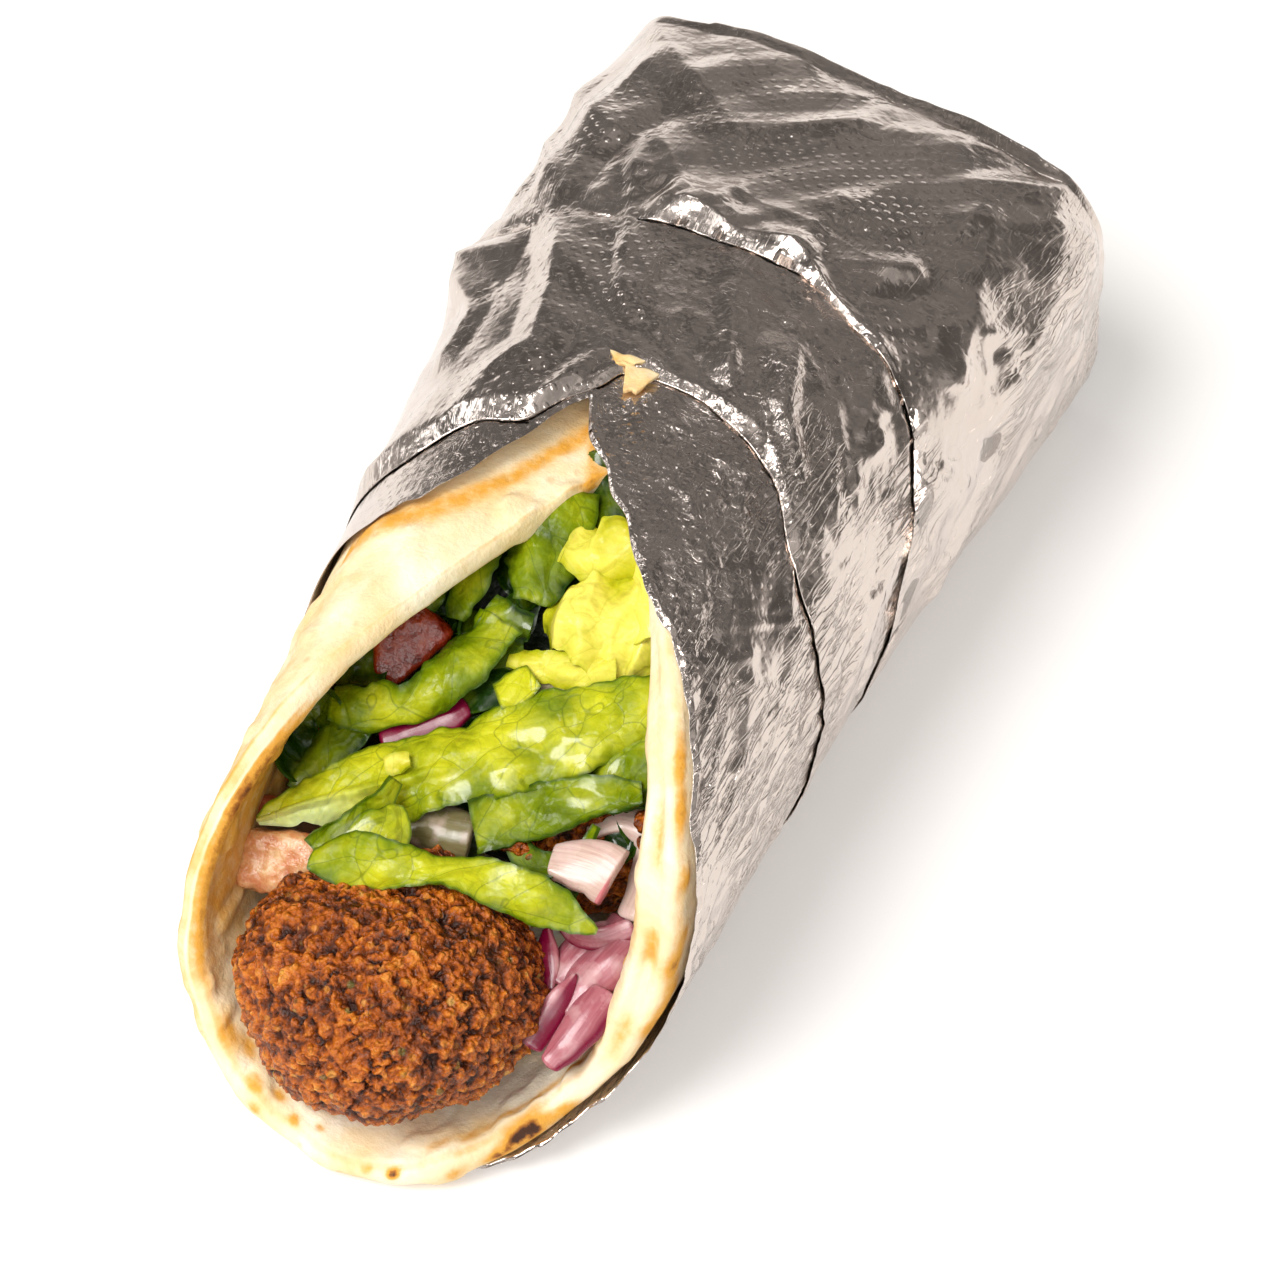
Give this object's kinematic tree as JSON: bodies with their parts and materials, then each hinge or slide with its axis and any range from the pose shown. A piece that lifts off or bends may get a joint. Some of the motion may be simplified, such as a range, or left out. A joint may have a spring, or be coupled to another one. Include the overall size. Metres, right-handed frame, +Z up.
{
  "type": "falafel wrap",
  "caption": "Flatbread rolled round falafel, shredded lettuce, tomato and onion, its back end folded into embossed foil and its front end open.",
  "frame": {"origin": "under the middle of the wrap's bounding box, on the surface it lies on", "axes": "+Y along the wrap, from its open mouth to its closed foil end; +Z up"},
  "size_m": [0.0916, 0.2034, 0.0664],
  "materials": {
    "foil": "crumpled, with a fine embossed dot pattern",
    "bread": "soft baked bread with toasted spots",
    "falafel": "rough fried crust",
    "lettuce": "moist leaf",
    "lettuce_heart": "moist pale leaf",
    "tomato": "moist cut flesh",
    "onion": "moist, slightly translucent",
    "red_onion": "moist, slightly translucent"
  },
  "bodies": {
    "root": {"foil_wrap": "foil", "flatbread": "bread", "salad_filling": "lettuce", "falafel_front": "falafel", "falafel_rear": "falafel", "lettuce_strip_long": "lettuce", "lettuce_strip_front": "lettuce", "lettuce_strip_middle": "lettuce", "lettuce_strip_rear": "lettuce", "lettuce_heart_leaf": "lettuce_heart", "tomato_chunk": "tomato", "tomato_wedge": "tomato", "onion_white_piece": "onion", "onion_chunk": "onion", "red_onion_1": "red_onion", "red_onion_2": "red_onion", "red_onion_3": "red_onion", "red_onion_4": "red_onion", "red_onion_5": "red_onion", "red_onion_6": "red_onion"}
  },
  "joints": []
}
